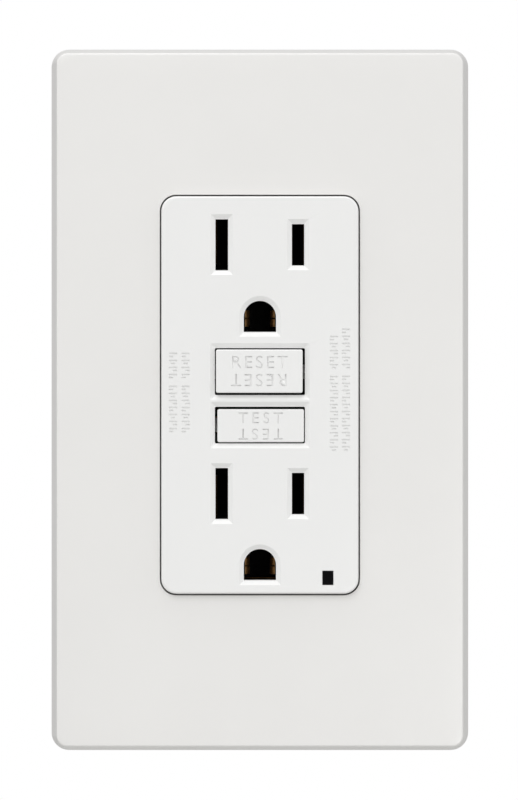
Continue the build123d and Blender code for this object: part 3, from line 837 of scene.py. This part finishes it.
def placed(x: float, y: float, z: float, axis: str = "+Y") -> Matrix:
    """Matrix that carries a screw from the origin to its place.

    Args:
        x: x of the middle of its head's top.
        y: y of the same.
        z: z of the same.
        axis: direction that its shank points in.

    Returns:
        The matrix, in millimetres.
    """
    turns = {"+Y": (0, "Z"), "-Y": (math.pi, "Z"), "-X": (math.pi / 2, "Z"), "+X": (-math.pi / 2, "Z")}
    angle, about = turns[axis]
    return Matrix.Translation((x, y, z)) @ Matrix.Rotation(angle, 4, about)


def screw_group(name: str, node: str, screw: Screw, places: list[Matrix]) -> bpy.types.Object:
    """Builds one piece of identical screws.

    Args:
        name: name of the piece.
        node: CAD node that it stands for.
        screw: the screw.
        places: a matrix for each.

    Returns:
        The piece.
    """
    whole = Mesh()
    for matrix in places:
        one = screw.build().move(matrix)
        scratch = bpy.data.meshes.new("screw")
        one.bm.to_mesh(scratch)
        one.bm.free()
        whole.bm.from_mesh(scratch)
        bpy.data.meshes.remove(scratch)
    return whole.piece(name, node)


# ---------------------------------------------------------------- sub-assemblies
@dataclass
class WallPlate:
    """Clip-on cover with its inner frame and screws."""

    width: float = 70.2
    height: float = 118.0
    drop: float = 0.8
    draft: float = 1.2
    front: float = -6.4
    wall: float = 1.7
    corner: float = 3.0
    edge: float = 0.35
    crown: tuple[Pair, ...] = ((1.0, 0.07), (2.2, 0.025), (4.0, 0.0))
    window: Triple = (33.3, 66.7, 2.7)
    lip_end: float = -3.2
    lip_width: float = 1.2
    ridge_x: Pair = (32.9, 33.7)
    ridge_y: Pair = (-1.6, -0.9)
    ridge_z: Pair = (-34.0, 32.4)
    ridge_half: float = 4.0
    screw_y: float = -4.45
    screw_z: float = 48.4

    def side(self, y: float, inset: float = 0.0) -> Outline:
        """Outline of the drafted side wall at one depth.

        Args:
            y: the depth.
            inset: how far inside the wall's outer face.

        Returns:
            The outline.
        """
        lean = self.draft * y / self.front
        base = Outline(self.width, self.height, self.corner, 0, -self.drop, None, 10)
        return base.grown(-lean - inset)

    def cover(self) -> bpy.types.Object:
        """Builds the cover: drafted sides, rounded front edge, window with a deep lip, and a hollow back.

        Returns:
            The piece.
        """
        mesh = Mesh()
        opening = Outline(*self.window, steps=10)
        back = self.front + self.wall
        outside = [(self.side(0.0, 0.15), 0.0), (self.side(-0.15), -0.15),
                   (self.side(self.front / 2), self.front / 2)]
        outside += outer_round(self.side(self.front), self.front + 0.1, self.edge)
        for inset, fall in self.crown:
            outside.append((replace(self.side(self.front, inset), radius=1.6), self.front + fall))
        window = hole_round(opening, self.front, 0.1)
        far_side = opening.grown(self.lip_width)
        window += [(opening, self.lip_end - 0.15), (opening.grown(0.15), self.lip_end),
                   (far_side.grown(-0.15), self.lip_end), (far_side, self.lip_end - 0.15), (far_side, back)]
        inside = [(self.side(back, self.wall + 0.5), back), (self.side(back + 0.5, self.wall), back + 0.5),
                  (self.side(-0.3, self.wall), -0.3), (self.side(0.0, self.wall - 0.1), 0.0)]
        outer_rim, face_edge = mesh.skin(outside)
        window_edge, lip = mesh.skin(window)
        ceiling, inner_rim = mesh.skin(inside)
        mesh.fill(face_edge, window_edge)
        mesh.fill(lip, ceiling)
        mesh.fill(outer_rim, inner_rim)
        for z in self.ridge_z:
            mesh.twin_blocks(self.ridge_x, self.ridge_y, (z - self.ridge_half, z + self.ridge_half))
        return mesh.piece("clip_on_cover", "wall_plate_cover")

    def screws(self) -> bpy.types.Object:
        """Builds the two flat-head screws of the inner frame.

        Returns:
            The piece.
        """
        screw = Screw(shank=1.75, length=10.4, head=3.05, head_height=1.5, drive=Drive.SLOT, countersunk=True)
        places = [placed(0, self.screw_y, z * self.screw_z) for z in (-1, 1)]
        return screw_group("plate_frame_screws", "plate_screws", screw, places)

    def build(self) -> None:
        """Builds the cover, the inner frame and its screws."""
        self.cover()
        softened("wall_plate_frame", 0.25)
        self.screws()


@dataclass
class Face:
    """Front cover of the device, with its plug openings, button openings and rows of engraved bars."""

    nose: Triple = (32.8, 66.1, 2.5)
    flange: Triple = (43.0, 68.0, 1.0)
    front: float = -7.5
    thickness: float = 1.9
    edge: float = 0.4
    lead_in: float = 0.8
    lead_depth: float = 0.52
    lead_edge: float = 0.03
    land: float = 0.13
    slots: tuple[Triple, ...] = ((2.1, 8.5, -6.35), (2.05, 6.9, 6.35))
    slot_z: Pair = (25.0, -16.4)
    ground: Outline = Outline(5.36, 5.18, 0.1, 0.0, 0.09, 2.68, 10)
    ground_z: Pair = (13.0, -28.3)
    buttons: tuple[Triple, ...] = ((15.0, 7.8, 3.9), (15.0, 6.1, -5.0))
    window: Outline = Outline(1.85, 2.4, 0.08, 11.3, -30.4)
    cavity: Outline = Outline(29.2, 64.6, 1.0, steps=10)
    underside: float = -1.36
    shoulder: float = -2.8
    rail_x: Pair = (12.2, 21.5)
    rail_y: Pair = (-1.4, 0.0)
    rail_z: Pair = (-34.0, 34.0)
    mark: float = 1.25
    mark_width: float = 0.2
    mark_depth: float = 0.18
    mark_pitch: float = 1.17
    mark_space: float = 0.8
    mark_drop: float = 0.5
    mark_shift: float = 0.32
    mark_rows: tuple[tuple[float, float, tuple[int, ...]], ...] = (
        (-14.45, 6.9, (4, 7)), (-12.35, 6.9, (4, 7)), (14.3, 10.9, (6, 11)), (12.3, 9.7, (5, 11)))

    def openings(self) -> list[Outline]:
        """Lists every opening with a lead-in: four slots, two ground openings and two button openings.

        Returns:
            Their outlines.
        """
        found = [Outline(width, height, 0.06, x, z) for z in self.slot_z for width, height, x in self.slots]
        found += [replace(self.ground, z=z + self.ground.z) for z in self.ground_z]
        found += [Outline(width, height, 0.25, 0, z) for width, height, z in self.buttons]
        return found

    def lead(self, opening: Outline) -> list[Section]:
        """Lays out a lead-in: a mitred slope with a narrow flat land at its foot.

        Args:
            opening: outline of the opening.

        Returns:
            Outlines with their depths, from the face to the opening's wall.
        """
        depth = self.front + self.lead_depth
        soft = self.lead_edge
        return [(opening.mitred(self.lead_in + soft), self.front),
                (opening.mitred(self.lead_in - soft), self.front + soft),
                (opening.mitred(self.land), depth), (opening.mitred(soft), depth), (opening, depth + soft)]

    def marks(self) -> list[Outline]:
        """Lays out engraved pairs of bars, one long and one short, in two rows along each long edge.

        Returns:
            The outline of each bar.
        """
        found = []
        for x, top, groups in self.mark_rows:
            z = top
            for count in groups:
                for k in range(count):
                    long = Outline(self.mark, self.mark_width, 0.04, x, z, None, 1)
                    aside = (k % 3 - 1) * self.mark_shift
                    found += [long, replace(long, width=0.5 * self.mark, x=x + aside, z=z - self.mark_drop)]
                    z -= self.mark_pitch
                z -= self.mark_space
        return found

    def cover(self) -> bpy.types.Object:
        """Builds the nose and its flange as one thick shell.

        Returns:
            The piece.
        """
        mesh = Mesh()
        nose = Outline(*self.nose, steps=10)
        flange = Outline(*self.flange, steps=10)
        inner = self.front + self.thickness
        outside = [(flange, self.underside), (flange, self.shoulder), (flange.grown(-0.1), self.shoulder - 0.1),
                   (nose.grown(0.15), self.shoulder - 0.1), (nose, self.shoulder - 0.25)]
        outside += outer_round(nose, self.front, self.edge, steps=6)
        low, rim = mesh.skin(outside)
        inside, cavity_rim = mesh.skin([(self.cavity, inner), (self.cavity, self.underside)])
        fronts, backs = [rim], [inside]
        for opening in self.openings():
            near, far = mesh.skin(self.lead(opening) + [(opening, inner)])
            fronts.append(near)
            backs.append(far)
        near, far = mesh.skin(hole_round(self.window, self.front, 0.06, steps=2) + [(self.window, inner)])
        fronts.append(near)
        backs.append(far)
        for mark in self.marks():
            near, far = mesh.skin([(mark.grown(0.04), self.front), (mark, self.front + self.mark_depth)])
            fronts.append(near)
            mesh.fill(far)
        mesh.fill(*fronts)
        mesh.fill(*backs)
        mesh.fill(low, cavity_rim)
        mesh.twin_blocks(self.rail_x, self.rail_y, self.rail_z, 0.1)
        return mesh.piece("front_shell", "front_cover")

    def build(self) -> None:
        """Builds the cover."""
        self.cover()


@dataclass
class Button:
    """One push button: a hollow cap with rounded edges and its word engraved twice, the second time turned round."""

    node: str
    word: str
    z: float
    width: float
    height: float
    front: float
    letter: float
    rows: Pair
    play: Pair
    spacing: float
    post: Pair | None = None
    edge: float = 0.25
    sunk: float = 0.17
    back: float = -3.9
    wall: float = 1.0
    roof: float = 1.6
    lip_reach: float = 0.9
    lip_half: float = 1.2
    lip_y: Pair = (-4.7, -4.0)
    post_radius: float = 1.2
    stem_radius: float = 1.8

    def cap(self) -> bpy.types.Object:
        """Builds the cap and its stop lips. It rests a little off the middle of its opening, by its play.

        Returns:
            The piece.
        """
        mesh = Mesh()
        aside, up = self.play
        outline = Outline(self.width, self.height, 0.3, aside, self.z + up, None, 6)
        hollow = outline.grown(-self.wall)
        sections = [(hollow, self.front + self.roof), (hollow, self.back), (outline.grown(-0.1), self.back),
                    (outline, self.back - 0.1)]
        sections += outer_round(outline, self.front, self.edge, steps=5)
        near, far = mesh.skin(sections)
        mesh.fill(near)
        mesh.fill(far)
        half = self.width / 2
        mesh.twin_blocks((half - self.lip_reach, half + self.lip_reach), self.lip_y,
                         (self.z - self.lip_half, self.z + self.lip_half), 0.1)
        root = self.front + 1.0
        if self.post:
            x, tip = self.post
            post = disc(self.post_radius, x, self.z)
            mesh.solid([(post, root), (post, tip - 0.2), (post.grown(-0.2), tip)])
        else:
            stem = disc(self.stem_radius, 0, self.z)
            mesh.solid([(stem, root), (stem, self.back)])
        return mesh.piece(self.node + "_cap", self.node)

    def lettering(self) -> bpy.types.Mesh:
        """Makes the closed mesh that engraves the word in both rows.

        Returns:
            The tool mesh, in metres.
        """
        curve = bpy.data.curves.new("word", "FONT")
        curve.body = self.word
        curve.size = self.letter / 0.62
        curve.space_character = self.spacing
        curve.offset = -0.02
        curve.align_x = "CENTER"
        curve.align_y = "CENTER"
        curve.resolution_u = 4
        drawn = bpy.data.objects.new("word", curve)
        flat = bpy.data.meshes.new_from_object(drawn)
        bpy.data.objects.remove(drawn)
        mesh = Mesh()
        tool = mesh.bm
        tool.from_mesh(flat)
        bpy.data.meshes.remove(flat)
        bmesh.ops.remove_doubles(tool, verts=tool.verts, dist=1e-3)
        bmesh.ops.delete(tool, geom=list(tool.faces), context="FACES_KEEP_BOUNDARY")
        bmesh.ops.triangle_fill(tool, use_beauty=True, edges=list(tool.edges), normal=(0, 0, 1))
        bmesh.ops.translate(tool, vec=(0, 0, self.sunk), verts=tool.verts)
        raised = bmesh.ops.extrude_face_region(tool, geom=list(tool.faces), use_keep_orig=True)
        moved = [g for g in raised["geom"] if isinstance(g, bmesh.types.BMVert)]
        bmesh.ops.translate(tool, vec=(0, 0, -2 * self.sunk), verts=moved)
        second = bmesh.ops.duplicate(tool, geom=list(tool.verts) + list(tool.edges) + list(tool.faces))
        turned = {g for g in second["geom"] if isinstance(g, bmesh.types.BMVert)}
        upright = [v for v in tool.verts if v not in turned]
        for verts, row, turn in ((upright, self.rows[0], 0.0), (list(turned), self.rows[1], math.pi)):
            place = Matrix.Translation((self.play[0], self.front, row)) @ Matrix.Rotation(turn, 4, "Y")
            place = place @ Matrix.Rotation(math.pi / 2, 4, "X")
            bmesh.ops.transform(tool, matrix=place, verts=verts)
        return mesh.finished("lettering")

    def build(self) -> None:
        """Builds the cap and engraves it."""
        cut_by(self.cap(), self.lettering())


@dataclass
class Strap:
    """Steel strap with its screws, rivets and ground contacts."""

    box_screw_y: float = -3.2
    box_screw_z: float = 41.65
    ground_screw: Triple = (14.9, 5.8, -40.7)
    contact_z: Pair = (13.0, -28.3)
    base: Outline = Outline(7.8, 9.0, 0.4, 0.0, 1.9)
    gap: Outline = Outline(5.7, 6.0, 0.2, 0.0, 0.6)
    foot_x: Pair = (2.0, 3.0)
    foot_y: Pair = (0.15, 0.75)
    foot_z: Pair = (-1.5, 1.05)
    leaf_z: tuple[Pair, ...] = ((-1.6, -0.32), (-0.12, 1.15))
    leaf: float = 0.38
    leaf_path: tuple[Pair, ...] = ((2.72, -4.85), (2.3, -4.4), (2.08, -3.6), (2.12, 9.0))

    def contact(self, node: str, z: float) -> None:
        """Builds one ground contact: a base plate, and two fingers with flared lips on each side.

        Args:
            node: CAD node that it stands for.
            z: height of the opening's centre.
        """
        mesh = Mesh()
        rims = []
        for outline, way in ((self.base, -1), (self.gap, 1)):
            edge = replace(outline, z=z + outline.z)
            soft = edge.grown(way * 0.08)
            rims.append(mesh.skin([(soft, 0.05), (edge, 0.13), (edge, 0.77), (soft, 0.85)]))
        for outer_loop, inner_loop in zip(*rims):
            mesh.fill(outer_loop, inner_loop)
        low, high = self.foot_z
        mesh.twin_blocks(self.foot_x, self.foot_y, (z + low, z + high), 0.08)
        for side in (-1, 1):
            for low, high in self.leaf_z:
                path = tuple((side * x, y) for x, y in self.leaf_path)
                mesh.strip(path, self.leaf, z + low, z + high)
        mesh.piece(node + "_clip", node)

    def build(self) -> None:
        """Rounds the stamped parts and threads the screws."""
        for node in ("mounting_strap", "strap_rivets"):
            softened(node, 0.12)
        for node, z in zip(("ground_contact_upper", "ground_contact_lower"), self.contact_z):
            self.contact(node, z)
        box = Screw(shank=1.75, length=31.2, head=3.6, head_height=1.9, neck=1.3)
        places = [placed(0, self.box_screw_y, z * self.box_screw_z) for z in (-1, 1)]
        screw_group("wall_box_screws", "box_screws", box, places)
        ground = Screw(shank=1.95, length=8.3, head=3.9, head_height=2.0)
        screw_group("green_ground_screw", "ground_screw", ground, [placed(*self.ground_screw, "-X")])


@dataclass
class Terminals:
    """Wire terminals on both sides of the body."""

    z: float = 20.0
    y: float = 11.0
    head_x: float = 21.25

    def build(self) -> None:
        """Threads the terminal screws and rounds the plates that they clamp."""
        for name, side, axis in (("neutral", -1, "+X"), ("hot", 1, "-X")):
            screw = Screw(shank=1.98, length=7.3, head=3.9, head_height=2.0, pitch=0.79)
            places = [placed(side * self.head_x, self.y, z, axis) for z in (self.z, -self.z)]
            screw_group(f"{name}_side_screws", f"{name}_terminal_screws", screw, places)
            softened(f"{name}_clamp_plates", 0.15)
            softened(f"{name}_line_terminal", 0.08)
            softened(f"{name}_contact_bar", 0.08)


@dataclass
class Housing:
    """Rear shell, separator and the screws that close them."""

    screw_x: float = 17.2
    screw_y: float = 26.9
    screw_z: float = 29.9
    back: float = 27.0
    panel: Outline = Outline(22.0, 26.0, 1.5, 0.0, 4.0)
    panel_depth: float = 0.35
    gauge: Outline = Outline(16.0, 2.2, 0.3, 0.0, -15.5)
    gauge_depth: float = 0.6

    def recesses(self) -> bpy.types.Mesh:
        """Makes the tool that sinks a blank panel and a strip gauge for the wires into the back.

        Returns:
            The tool mesh, in metres.
        """
        mesh = Mesh()
        for outline, depth in ((self.panel, self.panel_depth), (self.gauge, self.gauge_depth)):
            mesh.solid([(outline.grown(-depth), self.back - depth), (outline.grown(0.3), self.back + 0.3)])
        return mesh.finished("recesses")

    def build(self) -> None:
        """Rounds the mouldings, sinks the back's recesses and threads the screws."""
        cut_by(softened("rear_housing", 0.3), self.recesses())
        softened("separator", 0.12)
        screw = Screw(shank=1.18, length=29.1, head=2.4, head_height=1.4, pitch=0.9)
        corners = [(i * self.screw_x, j * self.screw_z) for i in (-1, 1) for j in (-1, 1)]
        places = [placed(x, self.screw_y, z, "-Y") for x, z in corners]
        screw_group("housing_screws", "assembly_screws", screw, places)


@dataclass
class Mechanism:
    """Trip mechanism: springs, coil and the parts that they move."""

    coil_y: float = 18.6
    plunger_z: float = 8.4
    reset_y: float = 3.6
    reset_z: float = 3.9

    def springs(self) -> None:
        """Winds the two springs, each with a mesh of its own."""
        reset = Mesh()
        reset.coil(radius=2.6, wire=0.28, z0=0.0, z1=6.9, turns=6)
        place = Matrix.Translation((0, self.reset_y, self.reset_z)) @ Matrix.Rotation(math.pi / 2, 4, "X")
        spring = reset.move(place).piece("reset_button_spring", "reset_spring")
        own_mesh(spring)
        plunger = Mesh()
        plunger.coil(radius=2.35, wire=0.22, z0=0.0, z1=4.0, turns=5)
        plunger.move(Matrix.Translation((0, self.coil_y, self.plunger_z)))
        spring = plunger.piece("plunger_return_spring", "plunger_spring")
        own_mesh(spring)

    def build(self) -> None:
        """Winds the springs and rounds the rest."""
        self.springs()
        for node in ("carriage", "latch_plate", "reset_pin", "plunger", "solenoid_bobbin", "solenoid_frame",
                     "test_arm", "test_contact", "hot_contact_arm", "neutral_contact_arm", "hot_arm_pad",
                     "neutral_arm_pad", "fixed_pads", "arm_posts", "indicator_lens"):
            softened(node, 0.08)


@dataclass
class Electronics:
    """Circuit board with its parts, and the sensing rings."""

    nodes: tuple[str, ...] = ("solenoid_winding", "sensing_core", "sensing_winding", "balance_core",
                              "balance_winding", "circuit_board", "controller_chip", "thyristor", "varistor",
                              "capacitors", "diodes", "resistors", "led")

    def build(self) -> None:
        """Gives each part its finish. Their shapes are right as they are."""
        for node in self.nodes:
            shown = frame["nodes"][node]
            shown.data.materials.clear()
            shown.data.materials.append(FINISH_BY_SLOT[SLOT_BY_NODE[node]].material())
            LOG.info("%s: dressed", node)


# ---------------------------------------------------------------- studio
@dataclass
class Studio:
    """White room with soft light, a pale floor and a straight-on camera."""

    lens: float = 150.0
    distance: float = 561.5
    aim: Pair = (-0.15, -0.83)
    floor_z: float = -260.0
    floor_half: float = 0.6
    lamps: tuple[tuple[str, Triple, float, float], ...] = (
        ("overhead_strip", (-0.05, -0.08, 0.9), 0.3, 1.3),
        ("soft_key", (-0.3, -0.78, 0.78), 0.5, 3.4),
        ("low_fill", (0.3, -1.0, -0.3), 0.2, 2.2))
    glow: tuple[Pair, ...] = ((0.0, 0.42), (0.46, 0.5), (0.58, 0.95), (0.9, 0.95), (0.975, 0.12))

    def room(self) -> None:
        """Makes the world: white to look at. As a light it is bright all round the camera, and dim behind it."""
        world = bpy.data.worlds.new("white_room")
        world.use_nodes = True
        bpy.context.scene.world = world
        tree = world.node_tree
        seen = add_node(tree, "ShaderNodeLightPath").outputs["Is Camera Ray"]
        towards = add_node(tree, "ShaderNodeTexCoord").outputs["Generated"]
        parts = add_node(tree, "ShaderNodeSeparateXYZ", {"Vector": towards})
        front = add_node(tree, "ShaderNodeMapRange", {"Value": parts.outputs["Y"], "From Min": 1.0, "From Max": -1.0})
        ramp = add_node(tree, "ShaderNodeValToRGB", {"Fac": front.outputs[0]})
        ramp.color_ramp.interpolation = "EASE"
        while len(ramp.color_ramp.elements) < len(self.glow):
            ramp.color_ramp.elements.new(0.5)
        for stop, (place, level) in zip(ramp.color_ramp.elements, self.glow):
            stop.position = place
            stop.color = (level, level, level, 1.0)
        shown = add_node(tree, "ShaderNodeMix", {"Factor": seen}, data_type="RGBA")
        shown.inputs[7].default_value = (1, 1, 1, 1)
        tree.links.new(ramp.outputs[0], shown.inputs[6])
        tree.links.new(shown.outputs[2], tree.nodes["Background"].inputs["Color"])

    def floor(self) -> None:
        """Lays a plain pale floor well below the outlet."""
        bm = bmesh.new()
        bmesh.ops.create_grid(bm, x_segments=1, y_segments=1, size=self.floor_half)
        bmesh.ops.translate(bm, vec=(0, 0, self.floor_z * MM), verts=bm.verts)
        mesh = bpy.data.meshes.new("floor")
        bm.to_mesh(mesh)
        bm.free()
        floor = stand("floor", mesh)
        mesh.materials.append(MouldedPlastic("pale_painted_floor", "#D2D2D0", "#D8D8D6", 0.8, 6.0, 0.01).material())

    def lamp(self, name: str, place: Triple, size: float, power: float) -> None:
        """Hangs one square soft light that faces the outlet.

        Args:
            name: name of the light.
            place: where it hangs, in metres.
            size: its side, in metres.
            power: its power, in watts.
        """
        light = bpy.data.lights.new(name, "AREA")
        light.shape = "SQUARE"
        light.size = size
        light.energy = power
        lamp = stand(name, light)
        lamp.location = place
        lamp.rotation_euler = (-Vector(place)).to_track_quat("-Z", "Y").to_euler()

    def camera(self) -> None:
        """Sets the camera straight on, level with the middle of the plate."""
        data = bpy.data.cameras.new("camera")
        data.lens = self.lens
        data.sensor_width = 36.0
        data.clip_start = 0.01
        camera = stand("camera", data)
        camera.location = (self.aim[0] * MM, -self.distance * MM, self.aim[1] * MM)
        camera.rotation_euler = (math.pi / 2, 0, 0)
        bpy.context.scene.camera = camera

    def build(self) -> None:
        """Builds the room, lights and camera."""
        self.room()
        self.floor()
        for lamp in self.lamps:
            self.lamp(*lamp)
        self.camera()
        bpy.context.scene.view_settings.view_transform = "Standard"


def main() -> None:
    """Builds the outlet, from the studio to the smallest part."""
    logging.basicConfig(level=logging.INFO, format="%(message)s")
    Studio().build()
    WallPlate().build()
    Face().build()
    Button("reset_button", "RESET", z=3.9, width=14.4, height=7.2, front=-8.0, letter=1.85, rows=(5.35, 2.6),
           play=(-0.1, 0.06), spacing=1.26).build()
    Button("test_button", "TEST", z=-5.0, width=14.4, height=5.5, front=-7.4, letter=1.65, rows=(-3.9, -6.4),
           play=(0.13, -0.1), spacing=1.42, post=(2.0, 2.0)).build()
    Strap().build()
    Terminals().build()
    Housing().build()
    Mechanism().build()
    Electronics().build()


if __name__ == "__main__":
    main()
